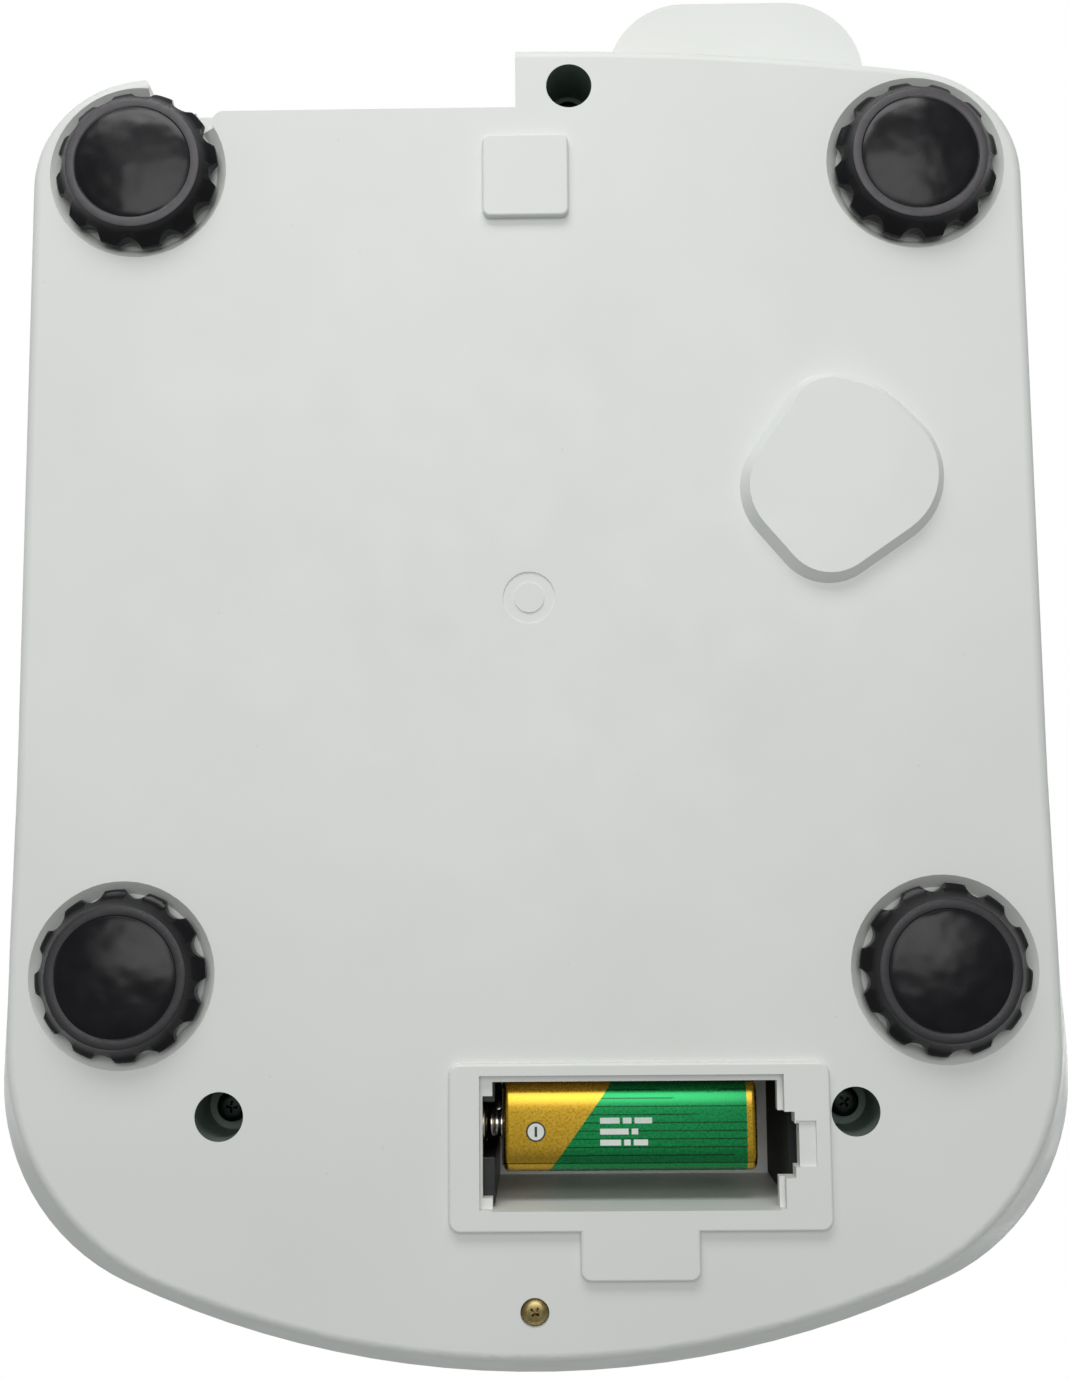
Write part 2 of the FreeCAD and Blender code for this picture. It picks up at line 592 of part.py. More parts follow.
def battery_leads():
    """Two thin leads from the contact block up to a socket on the board."""
    made = []
    for y, t in ((-89.0, 33.2), (-91.5, 35.4)):
        made.append(lead([V(BAY_X[1], y, 24.0), V(23.0, y, 24.0), panel_point(23.0, t, -20.0),
                          panel_point(23.0, t, BOARD_N[0] - SOCKET_TALL)], 0.7))
    return made


def load_cell_lead():
    """The cell's cable, from its fixed end forward to the other socket on the board."""
    x, t = 27.0, 42.0
    return lead([V(4.0, CELL_Y[0], 31.0), V(4.0, -34.0, 31.0), V(20.0, -52.0, 27.0), V(x, -70.0, 25.0),
                 panel_point(x, t, -27.0), panel_point(x, t, BOARD_N[0] - SOCKET_TALL)], 1.6)


def cell_spacer(ys, zs, screw_ys):
    plate = box((-CELL_X, CELL_X), ys, zs)
    return plate.cut(fuse([disc(0, y, 2.1, (zs[0] - 1.0, zs[1] + 1.0)) for y in screw_ys]))


def write_housing():
    save("base_shell", [base_shell()])
    save("top_shell", [top_shell()])
    for depth, side, x, y in feet():
        place = depth + "_" + side
        save("foot_knob_" + place, [knob(x, y, KNOB_TURNS[(depth, side)])])
        save("foot_stud_" + place, [stud(x, y)])
    save("foot_inserts", [insert(x, y) for depth, side, x, y in feet()])
    front = pan_screw(FRONT_SCREW[0], FRONT_SCREW[1], 7.4, 24.0, r=1.15, head_r=2.45, head=1.5, up=-1)
    save("front_screw", [front])
    save("housing_screws", [pan_screw(x, y, DEEP_SEAT_Z, 14.0, r=1.45, head_r=2.9, head=2.0, up=-1)
                            for x, y in DEEP_SCREWS])


def write_battery_bay():
    save("battery_jacket", [battery_body()])
    inset = 1.6
    plate = box((BATTERY_X[1], BATTERY_X[1] + BATTERY_PLATE), (BATTERY_Y[0] + inset, BATTERY_Y[1] - inset),
                (BATTERY_Z[0] + inset, BATTERY_Z[1] - inset))
    save("battery_top_plate", [plate])
    save("battery_terminals", battery_terminals())
    save("battery_contact_block", [contact_block()])
    save("battery_contacts", contacts())
    save("battery_leads", battery_leads())
    save("bay_foam", [bay_foam()])


def write_weighing_parts():
    save("weighing_pan", [weighing_pan()])
    save("pan_pads", [disc(x, y, 6.0, PAD_Z) for x, y in posts()])
    save("platform_carrier", [platform_carrier()])
    save("load_cell", [load_cell()])
    lower_zs = (CELL_Z[0] - 2.0, CELL_Z[0])
    save("load_cell_lower_spacer", [cell_spacer((CELL_Y[0], 4.0), lower_zs, CELL_BASE_SCREWS)])
    upper_zs = (CELL_Z[1], CARRIER_Z[0])
    save("load_cell_upper_spacer", [cell_spacer((40.0, CELL_Y[1]), upper_zs, CELL_CARRIER_SCREWS)])
    save("load_cell_base_screws", [pan_screw(0, y, CELL_Z[1], 27.0) for y in CELL_BASE_SCREWS])
    save("load_cell_carrier_screws", [pan_screw(0, y, CARRIER_Z[1], 16.0) for y in CELL_CARRIER_SCREWS])
    save("strain_gauge_cover", [round_box((-6.0, 6.0), (9.0, 35.0), (CELL_Z[1], CELL_Z[1] + 1.4), 1.0)])
    save("load_cell_lead", [load_cell_lead()])
    save("overload_stops", [disc(x, y, 2.0, (24.0, 37.8)) for x, y in posts()])


def write_panel_and_rear():
    save("main_board", [main_board()])
    save("board_components", board_components())
    save("board_screws", [board_screw(x, t) for x, t in BOARD_SCREWS])
    half, middle, reach = WINDOW
    save("lcd_glass", [on_panel(box((-33.0, 33.0), (middle - 12.0, middle + 12.0), (-5.4, -2.6)))])
    save("lcd_frame", [lcd_frame()])
    window = round_box((-half, half), (middle - reach, middle + reach), (-1.7, -0.2), 2.5)
    save("display_window", [on_panel(window)])
    for number, x in enumerate(KEY_XS, 1):
        save("key_%d" % number, [key(x)])
    save("key_switches", [key_switch(x) for x in KEY_XS])
    save("power_jack", [power_jack()])

    vial_zs = (37.2, 44.2)
    cup = disc(LEVEL_X, LEVEL_Y, 7.9, (36.0, TAB_TOP_Z + 0.3))
    save("level_vial", [cup.cut(disc(LEVEL_X, LEVEL_Y, 6.4, vial_zs))])
    bubble = disc(LEVEL_X, LEVEL_Y, 1.9, (vial_zs[1] - 1.0, vial_zs[1]))
    save("level_liquid", [disc(LEVEL_X, LEVEL_Y, 6.4, vial_zs).cut(bubble)])
    save("level_bubble", [bubble])


os.makedirs("parts", exist_ok=True)
write_housing()
write_battery_bay()
write_weighing_parts()
write_panel_and_rear()
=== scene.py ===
"""Looks of a compact bench scale on four levelling feet, around its CAD frame. Metres throughout."""
import json
import math

import bpy
from mathutils import Matrix, Vector


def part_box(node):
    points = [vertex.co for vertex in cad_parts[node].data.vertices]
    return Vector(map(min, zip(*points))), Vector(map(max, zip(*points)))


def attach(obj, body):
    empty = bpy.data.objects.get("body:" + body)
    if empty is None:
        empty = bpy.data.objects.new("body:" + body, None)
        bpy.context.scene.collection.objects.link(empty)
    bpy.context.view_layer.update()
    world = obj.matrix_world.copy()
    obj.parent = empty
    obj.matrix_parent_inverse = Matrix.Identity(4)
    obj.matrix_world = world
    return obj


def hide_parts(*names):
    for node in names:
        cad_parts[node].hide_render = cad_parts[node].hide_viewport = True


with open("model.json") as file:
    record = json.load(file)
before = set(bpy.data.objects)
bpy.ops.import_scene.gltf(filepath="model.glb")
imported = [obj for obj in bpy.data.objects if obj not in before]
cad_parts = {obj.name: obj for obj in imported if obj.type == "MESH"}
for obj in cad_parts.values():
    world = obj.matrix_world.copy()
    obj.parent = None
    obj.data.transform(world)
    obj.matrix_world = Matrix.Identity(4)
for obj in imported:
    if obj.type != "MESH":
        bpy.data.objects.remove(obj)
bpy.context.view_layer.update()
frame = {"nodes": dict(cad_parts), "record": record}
nodes = frame["nodes"]

MM = 0.001
KNOB_R = 15.65                                       # millimetres, over the lobes of the grip
KNOB_LOBES = 12
SCALLOP_R = 2.7
SCALLOP_DEPTH = 1.5
KNOB_TURNS = {"front_left": 22.8, "front_right": 10.2, "rear_left": 4.2, "rear_right": 4.0}
PANEL_SLOPE = math.radians(21.0)
PANEL_EDGE = Vector((0.0, -136.2, 35.5)) * MM      # front edge of the sloping panel


# ---- materials ----
def srgb(code, alpha=1.0):
    """A colour written as sRGB hex, in linear light."""
    values = [int(code[i:i + 2], 16) / 255 for i in (1, 3, 5)]
    return [v / 12.92 if v <= 0.04045 else ((v + 0.055) / 1.055) ** 2.4 for v in values] + [alpha]


def add(tree, kind, inputs=None, **settings):
    """Adds a shader node, with its settings, and its inputs given as values or as other nodes' outputs."""
    made = tree.nodes.new("ShaderNode" + kind)
    for name, value in settings.items():
        setattr(made, name, value)
    for name, value in (inputs or {}).items():
        if isinstance(value, bpy.types.NodeSocket):
            tree.links.new(value, made.inputs[name])
        else:
            made.inputs[name].default_value = value
    return made


def material(name, **inputs):
    """A material and its tree, shader and place in metres, with the shader's sockets set."""
    made = bpy.data.materials.new(name)
    made.use_nodes = True
    tree = made.node_tree
    shader = tree.nodes["Principled BSDF"]
    for socket, value in inputs.items():
        shader.inputs[socket.replace("_", " ")].default_value = value
    place = add(tree, "TexCoord").outputs["Object"]
    return made, tree, shader, place


def noise(tree, place, size, detail=2.0, stretch=(1, 1, 1)):
    """Noise whose blobs are about size metres across."""
    scaled = add(tree, "Mapping", {"Vector": place, "Scale": stretch})
    made = add(tree, "TexNoise", {"Vector": scaled.outputs["Vector"], "Scale": 1.0 / size, "Detail": detail})
    return made.outputs["Fac"]


def ramp(tree, value, stops):
    """A colour ramp from (position, colour) stops."""
    made = add(tree, "ValToRGB", {"Fac": value})
    elements = made.color_ramp.elements
    while len(elements) < len(stops):
        elements.new(0.5)
    for element, (position, colour) in zip(elements, stops):
        element.position = position
        element.color = colour
    return made.outputs["Color"]


def vary(tree, value, low, high):
    """Spreads a noise value over a range, for roughness."""
    made = add(tree, "MapRange", {"Value": value, "From Min": 0.3, "From Max": 0.7,
                                  "To Min": low, "To Max": high})
    return made.outputs["Result"]


def rough_and_bump(tree, shader, height, depth, rough, distance):
    """Gives a shader its relief, distance metres deep at full strength, and its roughness."""
    made = add(tree, "Bump", {"Height": height, "Strength": depth, "Distance": distance})
    tree.links.new(made.outputs["Normal"], shader.inputs["Normal"])
    tree.links.new(rough, shader.inputs["Roughness"])


def moulded_abs():
    """ABS, injection moulded in a lightly sparked tool: satin, faintly green white, uneven by a shade."""
    made, tree, shader, place = material("moulded ABS", IOR=1.53, Specular_IOR_Level=0.5)
    cloud = noise(tree, place, 60 * MM, 3.0)
    colour = ramp(tree, cloud, [(0.3, srgb("#DEE0DC")), (0.7, srgb("#E3E5E2"))])
    specks = add(tree, "TexVoronoi", {"Vector": place, "Scale": 1.0 / (9 * MM)})
    speck = ramp(tree, specks.outputs["Distance"], [(0.018, (0.72, 0.72, 0.70, 1)), (0.03, (1, 1, 1, 1))])
    mixed = add(tree, "Mix", {"Factor": 0.35}, data_type="RGBA", blend_type="MULTIPLY")
    tree.links.new(colour, mixed.inputs[6])
    tree.links.new(speck, mixed.inputs[7])
    tree.links.new(mixed.outputs[2], shader.inputs["Base Color"])
    grain = noise(tree, place, 0.45 * MM, 2.0)
    handled = vary(tree, noise(tree, place, 9 * MM, 4.0), 0.40, 0.52)
    rough_and_bump(tree, shader, grain, 0.04, handled, 0.0001)
    return made


def gloss_nylon():
    """Black nylon, moulded in a polished tool: glossy, with sink marks that warp its reflections."""
    made, tree, shader, place = material("glossy black nylon", IOR=1.53, Specular_IOR_Level=0.28)
    shade = ramp(tree, noise(tree, place, 5 * MM, 2.0), [(0.35, srgb("#0D0C10")), (0.65, srgb("#151418"))])
    tree.links.new(shade, shader.inputs["Base Color"])
    sinks = noise(tree, place, 6 * MM, 1.0)
    wear = noise(tree, place, 8 * MM, 2.0)
    rough_and_bump(tree, shader, sinks, 0.5, vary(tree, wear, 0.20, 0.30), 0.0006)
    return made


def scraped_nylon_with_painted_reflection(name, low, high):
    """The rim of a knob's sole: the same nylon, scraped dull by the bench, in a grey that is partly wear and
    partly painted reflection of the lights it faces.
    """
    made, tree, shader, place = material(name, IOR=1.53)
    shade = ramp(tree, noise(tree, place, 2 * MM, 5.0), [(0.3, srgb(low)), (0.7, srgb(high))])
    tree.links.new(shade, shader.inputs["Base Color"])
    grain = noise(tree, place, 0.4 * MM, 2.0)
    rough_and_bump(tree, shader, grain, 0.3, vary(tree, grain, 0.40, 0.55), 0.0001)
    return made


def metal(name, low, high, size=2 * MM, rough=(0.25, 0.4), stretch=(1, 1, 1), depth=0.1, distance=0.0001):
    """A metal whose colour and roughness drift between two values; stretch lays the grain along an axis."""
    made, tree, shader, place = material(name, Metallic=1.0)
    grain = noise(tree, place, size, 4.0, stretch)
    tree.links.new(ramp(tree, grain, [(0.3, srgb(low)), (0.7, srgb(high))]), shader.inputs["Base Color"])
    rough_and_bump(tree, shader, grain, depth, vary(tree, grain, *rough), distance)
    return made


def plastic(name, low, high, rough=(0.4, 0.55), size=3 * MM, grain_size=0.4 * MM, depth=0.15, **inputs):
    """A moulded plastic or rubber whose shade drifts, with a fine tool grain."""
    made, tree, shader, place = material(name, **{"IOR": 1.53, **inputs})
    drift = noise(tree, place, size, 3.0)
    tree.links.new(ramp(tree, drift, [(0.3, srgb(low)), (0.7, srgb(high))]), shader.inputs["Base Color"])
    grain = noise(tree, place, grain_size, 2.0)
    rough_and_bump(tree, shader, grain, depth, vary(tree, drift, *rough), 0.0001)
    return made


def clear(name, colour, rough=0.05):
    """Acrylic, cast or moulded clear, with a trace of haze."""
    made, tree, shader, place = material(name, IOR=1.49, Transmission_Weight=1.0, Base_Color=srgb(colour))
    haze = vary(tree, noise(tree, place, 6 * MM, 3.0), rough, rough + 0.06)
    tree.links.new(haze, shader.inputs["Roughness"])
    return made


def printed_jacket():
    """Steel jacket under a metallised print: gold, with a slanted green field ruled with fine dark lines, and
    a dark line of painted shade along the jacket's fold.
    """
    made, tree, shader, place = material("printed metallised jacket", Metallic=1.0,
                                         Coat_Weight=0.35, Coat_Roughness=0.2)
    low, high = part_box("battery_jacket")
    axes = add(tree, "SeparateXYZ", {"Vector": place}).outputs

    def math_node(kind, a, b=0.0, c=0.0):
        made = add(tree, "Math", operation=kind)
        for i, value in enumerate((a, b, c)):
            if isinstance(value, bpy.types.NodeSocket):
                tree.links.new(value, made.inputs[i])
            else:
                made.inputs[i].default_value = value
        return made.outputs[0]

    depth = math_node("SUBTRACT", axes["Y"], low.y)                     # up from the jacket's front side
    along = math_node("SUBTRACT", high.x, axes["X"])                    # away from the terminals
    slant = math_node("MULTIPLY_ADD", depth, -0.733, along)
    after_slant = math_node("GREATER_THAN", slant, 7.75 * MM)
    before_end = math_node("LESS_THAN", along, 44.4 * MM)
    green = math_node("MULTIPLY", after_slant, before_end)

    brushed = noise(tree, place, 0.5 * MM, 3.0)
    gold = ramp(tree, brushed, [(0.25, srgb("#C79C24")), (0.75, srgb("#D9AF3A"))])
    leaf = ramp(tree, brushed, [(0.25, srgb("#138A49")), (0.75, srgb("#1F9A56"))])
    wave = math_node("FRACT", math_node("MULTIPLY_ADD", depth, 1 / (1.45 * MM), 0.6))
    rule = math_node("LESS_THAN", wave, 0.16)
    broken = math_node("GREATER_THAN", noise(tree, place, 6 * MM, 0.0, (0.4, 3, 1)), 0.42)
    ruled = math_node("MULTIPLY", math_node("MULTIPLY", rule, broken), green)
    # painted shade: a dark line along the fold near the front side, where shade falls in the crease
    painted_crease_shade = math_node("LESS_THAN", math_node("ABSOLUTE", math_node("SUBTRACT", depth, 2.2 * MM)), 0.14 * MM)
    # dark holds both the printed rules and the painted crease shade
    dark = math_node("MAXIMUM", ruled, painted_crease_shade)

    field = add(tree, "Mix", {"Factor": green}, data_type="RGBA")
    tree.links.new(gold, field.inputs[6])
    tree.links.new(leaf, field.inputs[7])
    inked = add(tree, "Mix", {"Factor": math_node("MULTIPLY", dark, 0.75)}, data_type="RGBA")
    tree.links.new(field.outputs[2], inked.inputs[6])
    inked.inputs[7].default_value = srgb("#10301C")
    tree.links.new(inked.outputs[2], shader.inputs["Base Color"])
    rough_and_bump(tree, shader, brushed, 0.02, vary(tree, brushed, 0.24, 0.32), 0.0001)
    return made


def brushed_pan():
    """Stainless steel sheet, brushed from front to back: fine streaks that stretch the highlights."""
    made, tree, shader, place = material("brushed stainless steel", Metallic=1.0)
    streaks = noise(tree, place, 0.6 * MM, 5.0, (1, 0.02, 1))
    shade = ramp(tree, streaks, [(0.3, srgb("#B9BABC")), (0.7, srgb("#CDCED0"))])
    tree.links.new(shade, shader.inputs["Base Color"])
    rough_and_bump(tree, shader, streaks, 0.15, vary(tree, streaks, 0.26, 0.38), 0.0001)
    return made


ABS = moulded_abs()
NYLON = gloss_nylon()
# the rims' grey is partly wear and partly painted reflection; the rear pair's lighter grey is painted
# reflection of the low rear light
RIMS_WORN_AND_PAINTED_REFLECTION = {"rear": scraped_nylon_with_painted_reflection("scraped nylon with painted reflection", "#3E3B3F", "#49454A"),
        "front": scraped_nylon_with_painted_reflection("lightly scraped nylon with painted reflection", "#222024", "#2A272C")}
# painted shade: a darker, duller ABS for the deep bores' walls, standing in for the shade deep inside them
PAINTED_BORE_SHADE = plastic("ABS with painted shade in a bore", "#5E6B62", "#66746A", rough=(0.7, 0.8))
JACKET = printed_jacket()
STEEL_PAN = brushed_pan()
ZINC = metal("bright zinc plate", "#A9ADB0", "#C4C8CA", rough=(0.22, 0.38))
BRASS = metal("turned brass", "#B8923E", "#CDA854", size=0.5 * MM, stretch=(1, 1, 6))
YELLOW_ZINC = metal("yellow passivated steel", "#A39160", "#BBA976", size=0.8 * MM, rough=(0.28, 0.42))
NICKEL = metal("nickel plate", "#C3BFB6", "#DCD9D0", size=1 * MM, rough=(0.15, 0.28))
CAST_ALLOY = metal("die-cast aluminium", "#A3A5A8", "#B4B6B9", size=1 * MM, rough=(0.45, 0.6), depth=0.5)
MILLED_ALLOY = metal("milled aluminium", "#BFC1C4", "#D2D4D6", size=0.5 * MM, stretch=(6, 1, 1))
BLACK_ZINC = metal("black zinc plate", "#1E2422", "#2C3330", rough=(0.35, 0.5))
WHITE_INK = plastic("white ink", "#DDE2DC", "#E6EAE4", rough=(0.35, 0.5))
BLACK_INK = plastic("black ink", "#151515", "#1C1C1C", rough=(0.35, 0.5))
BORDER_INK = plastic("dark grey ink", "#23282C", "#2A3034", rough=(0.4, 0.5))
SEGMENT = plastic("liquid crystal segment", "#1B1F1A", "#242822", rough=(0.2, 0.3), depth=0.0)
# a near-black, rough pad at the bay's far end, which makes that end dark
BLACK_BAY_PAD = plastic("black pad at the bay's end", "#0B0E0C", "#151917", rough=(0.85, 0.95), size=1.2 * MM,
               grain_size=0.7 * MM, depth=0.9)
BLACK_STYRENE = plastic("black polystyrene", "#121212", "#1B1B1C", rough=(0.3, 0.45))
BLACK_RUBBER = plastic("black rubber", "#1A1A1A", "#242424", rough=(0.65, 0.8), depth=0.4)
BLACK_PVC = plastic("black PVC insulation", "#141414", "#1C1C1C", rough=(0.35, 0.45))
GREY_PVC = plastic("grey PVC jacket", "#8C8D8F", "#98999B", rough=(0.4, 0.5))
SILICONE = plastic("white silicone", "#DCDDDD", "#E8E9E9", rough=(0.35, 0.5))
SOLDER_MASK = plastic("green solder mask", "#0E4A26", "#135A30", rough=(0.2, 0.35))
EPOXY = plastic("black epoxy", "#161617", "#1E1E20", rough=(0.45, 0.6))
KEY_PLASTIC = plastic("grey-blue key plastic", "#6F7C88", "#788591", rough=(0.4, 0.5))
LCD = plastic("display glass", "#A3AC95", "#ABB49D", rough=(0.12, 0.2), depth=0.0)
WINDOW = clear("clear acrylic", "#F2F7F5")
VIAL = clear("clear moulded acrylic", "#F4F8F4", rough=0.03)
SPIRIT = plastic("yellow-green spirit", "#B4D838", "#BEDF45", rough=(0.05, 0.1), depth=0.0)
AIR = plastic("air bubble", "#E4F2B0", "#EEF8C8", rough=(0.05, 0.1), depth=0.0)

# CAD nodes that stay as they are, with their finish
NODE_FINISH = {"battery_leads": BLACK_PVC, "load_cell_lead": GREY_PVC, "load_cell": MILLED_ALLOY}

# CAD nodes that get whole faces, broken edges and smooth curves: finish, and bevel in millimetres
REFINED = {
    "base_shell": (ABS, 0.18),
    "top_shell": (ABS, 0.2),
    "foot_inserts": (BRASS, 0.3),
    "battery_top_plate": (BLACK_STYRENE, 0.12),
    "battery_contact_block": (BLACK_STYRENE, 0.3),
    "bay_foam": (BLACK_BAY_PAD, 0.25),
    "pan_pads": (BLACK_RUBBER, 0.4),
    "platform_carrier": (CAST_ALLOY, 0.6),
    "load_cell_lower_spacer": (ZINC, 0.2),
    "load_cell_upper_spacer": (ZINC, 0.2),
    "strain_gauge_cover": (SILICONE, 0.4),
    "overload_stops": (ZINC, 0.3),
    "main_board": (SOLDER_MASK, 0.12),
    "board_components": (EPOXY, 0.15),
    "lcd_glass": (LCD, 0.12),
    "lcd_frame": (BLACK_STYRENE, 0.2),
    "key_1": (KEY_PLASTIC, 0.2),
    "key_2": (KEY_PLASTIC, 0.2),
    "key_3": (KEY_PLASTIC, 0.2),
    "key_4": (KEY_PLASTIC, 0.2),
    "key_switches": (ZINC, 0.2),
    "power_jack": (BLACK_STYRENE, 0.25),
    "level_vial": (VIAL, 0.25),
}


# ---- making meshes ----
def only(*objects):
    """Leaves just these objects selected, and the first one active."""
    bpy.ops.object.select_all(action="DESELECT")
    for made in objects:
        made.select_set(True)
    if objects:
        bpy.context.view_layer.objects.active = objects[0]


def apply_modifier(obj, kind, **settings):
    """Gives an object a modifier and applies it."""
    only(obj)
    modifier = obj.modifiers.new(kind.title(), kind)
    for name, value in settings.items():
        setattr(modifier, name, value)
    bpy.ops.object.modifier_apply(modifier=modifier.name)
    return obj


def break_edges(obj, width, segments, degrees, **settings):
    """Rounds off the edges where a piece turns by more than so many degrees."""
    return apply_modifier(obj, "BEVEL", width=width, segments=segments, limit_method="ANGLE",
                          angle_limit=math.radians(degrees), **settings)


def smooth(obj, degrees=35.0):
    """Shades a piece smooth, with sharp edges where it turns by more."""
    only(obj)
    bpy.ops.object.shade_smooth_by_angle(angle=math.radians(degrees))
    return obj


def finish(obj, name, finish_material, body, slot, *replaced):
    """Names a piece, gives it its material, hangs it on the body it rides on, and hides the CAD parts it
    stands for.
    """
    obj.name = name
    obj.data.name = name
    if not obj.data.materials:
        obj.data.materials.append(finish_material)
    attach(obj, body)
    if replaced:
        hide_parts(*replaced)
    return obj


def body_of(node):
    for body, members in frame["record"]["behaviour"]["bodies"].items():
        if node in members:
            return body


def slot_of(node):
    return next(part["material_slot"] for part in frame["record"]["subparts"] if part["node"] == node)


def refined(node, finish_material, bevel):
    """A merged copy of a CAD node with its flat faces made whole, its edges broken and its curves smooth."""
    source = nodes[node]
    copy = bpy.data.objects.new(node + "_moulding", source.data.copy())
    bpy.context.scene.collection.objects.link(copy)
    copy.data.materials.clear()
    only(copy)
    bpy.ops.object.mode_set(mode="EDIT")
    bpy.ops.mesh.select_all(action="SELECT")
    bpy.ops.mesh.customdata_custom_splitnormals_clear()
    bpy.ops.mesh.remove_doubles(threshold=0.002 * MM)
    bpy.ops.mesh.dissolve_limited(angle_limit=math.radians(0.4))
    bpy.ops.object.mode_set(mode="OBJECT")
    break_edges(copy, bevel, 2, 30, use_clamp_overlap=True, miter_outer="MITER_ARC")
    smooth(copy, 28.0)
    apply_modifier(copy, "WEIGHTED_NORMAL", mode="FACE_AREA", weight=100, keep_sharp=True)
    return finish(copy, node + "_moulding", finish_material, body_of(node), slot_of(node), node)


def turned(rings, sides=96):
    """A turned piece about +Z through the origin, drawn out ring by ring from a circle; rings are in mm."""
    radius, height = rings[0]
    only()
    bpy.ops.mesh.primitive_circle_add(vertices=sides, radius=radius * MM, location=(0, 0, height * MM))
    made = bpy.context.object
    bpy.ops.object.transform_apply(location=True)
    bpy.ops.object.mode_set(mode="EDIT")
    bpy.ops.mesh.select_all(action="SELECT")
    for before, (radius, height) in zip(rings, rings[1:]):
        bpy.ops.mesh.extrude_region_move(TRANSFORM_OT_translate={"value": (0, 0, (height - before[1]) * MM)})
        scale = radius / before[0]
        bpy.ops.transform.resize(value=(scale, scale, 1.0), center_override=(0, 0, 0))
    bpy.ops.mesh.select_all(action="SELECT")
    bpy.ops.mesh.remove_doubles(threshold=0.02 * MM)
    bpy.ops.mesh.select_mode(type="EDGE")
    bpy.ops.mesh.select_all(action="DESELECT")
    bpy.ops.mesh.select_non_manifold(extend=False, use_wire=False, use_boundary=True, use_multi_face=False,
                                     use_non_contiguous=False, use_verts=False)
    bpy.ops.mesh.edge_face_add()
    bpy.ops.mesh.select_all(action="SELECT")
    bpy.ops.mesh.normals_make_consistent(inside=False)
    bpy.ops.mesh.select_mode(type="VERT")
    bpy.ops.object.mode_set(mode="OBJECT")
    return made


def place(obj, matrix):
    """Puts a piece's place and turn into its mesh."""
    obj.data.transform(matrix)
    obj.data.update()
    return obj


def copied(obj, matrix):
    made = bpy.data.objects.new(obj.name, obj.data.copy())
    bpy.context.scene.collection.objects.link(made)
    return place(made, matrix)


def panel_matrix(x, t, n=0.0):
    """Takes a piece drawn flat, with y up the slope, on to the sloping panel. Millimetres."""
    return (Matrix.Translation(PANEL_EDGE) @ Matrix.Rotation(PANEL_SLOPE, 4, "X")
            @ Matrix.Translation(Vector((x, t, n)) * MM))


# ---- levelling feet ----
def knob_shape():
    """A knob at the origin, sole down: domed middle, flat rim, sloping flank and a scalloped grip."""
    dome = [(r, 1.0 * (r / 10.95) ** 2) for r in (0.3, 2, 4, 6, 8, 9.5, 10.6)]
    rim = [(10.95, 1.12), (11.2, 1.02), (12.5, 1.0), (12.8, 1.12)]
    flank = [(12.95, 1.45), (13.4, 2.3), (14.7, 3.9), (15.1, 4.1)]
    grip = [(15.6, 4.6), (KNOB_R, 4.9), (KNOB_R, 5.5), (15.4, 5.9), (15.0, 6.0)]
    back = [(13.0, 6.0), (12.8, 5.6), (8.2, 5.4), (8.0, 6.0), (3.05, 6.0), (3.05, 5.6)]
    body = turned(dome + rim + flank + grip + back, 144)
    cutters = []
    reach = (KNOB_R - SCALLOP_DEPTH + SCALLOP_R) * MM
    for i in range(KNOB_LOBES):
        angle = 2 * math.pi * i / KNOB_LOBES
        only()
        at = (reach * math.cos(angle), reach * math.sin(angle), 7.2 * MM)
        bpy.ops.mesh.primitive_cylinder_add(vertices=32, radius=SCALLOP_R * MM, depth=8 * MM, location=at)
        cutters.append(bpy.context.object)
    only(*cutters)
    bpy.ops.object.join()
    bpy.ops.object.transform_apply(location=True)
    cutter = bpy.context.object
    apply_modifier(body, "BOOLEAN", operation="DIFFERENCE", object=cutter, solver="EXACT")
    bpy.data.objects.remove(cutter)
    break_edges(body, 0.28 * MM, 3, 38, use_clamp_overlap=True)
    body.data.materials.append(NYLON)
    body.data.materials.append(RIMS_WORN_AND_PAINTED_REFLECTION["front"])
    for face in body.data.polygons:
        r = math.hypot(face.center.x, face.center.y) / MM
        if 11.1 < r < 12.7 and face.center.z < 1.2 * MM and face.normal.z < -0.9:
            face.material_index = 1
    return smooth(body, 32.0)


def make_knobs():
    shape = knob_shape()
    for where, turned_by in KNOB_TURNS.items():
        low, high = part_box("foot_stud_" + where)
        middle = (low + high) / 2
        turn = Matrix.Rotation(math.radians(turned_by), 4, "Z")
        knob = copied(shape, Matrix.Translation((middle.x, middle.y, 0)) @ turn)
        # the rear pair get the lighter rim, a painted reflection
        knob.data.materials[1] = RIMS_WORN_AND_PAINTED_REFLECTION[where.split("_")[0]]
        finish(knob, "knob_" + where, NYLON, where + "_knob", "knob_plastic", "foot_knob_" + where)
    bpy.data.objects.remove(shape)


# ---- battery ----
SNAP_TALL = 3.4                                      # as drawn; the snaps are then squashed to the CAD height


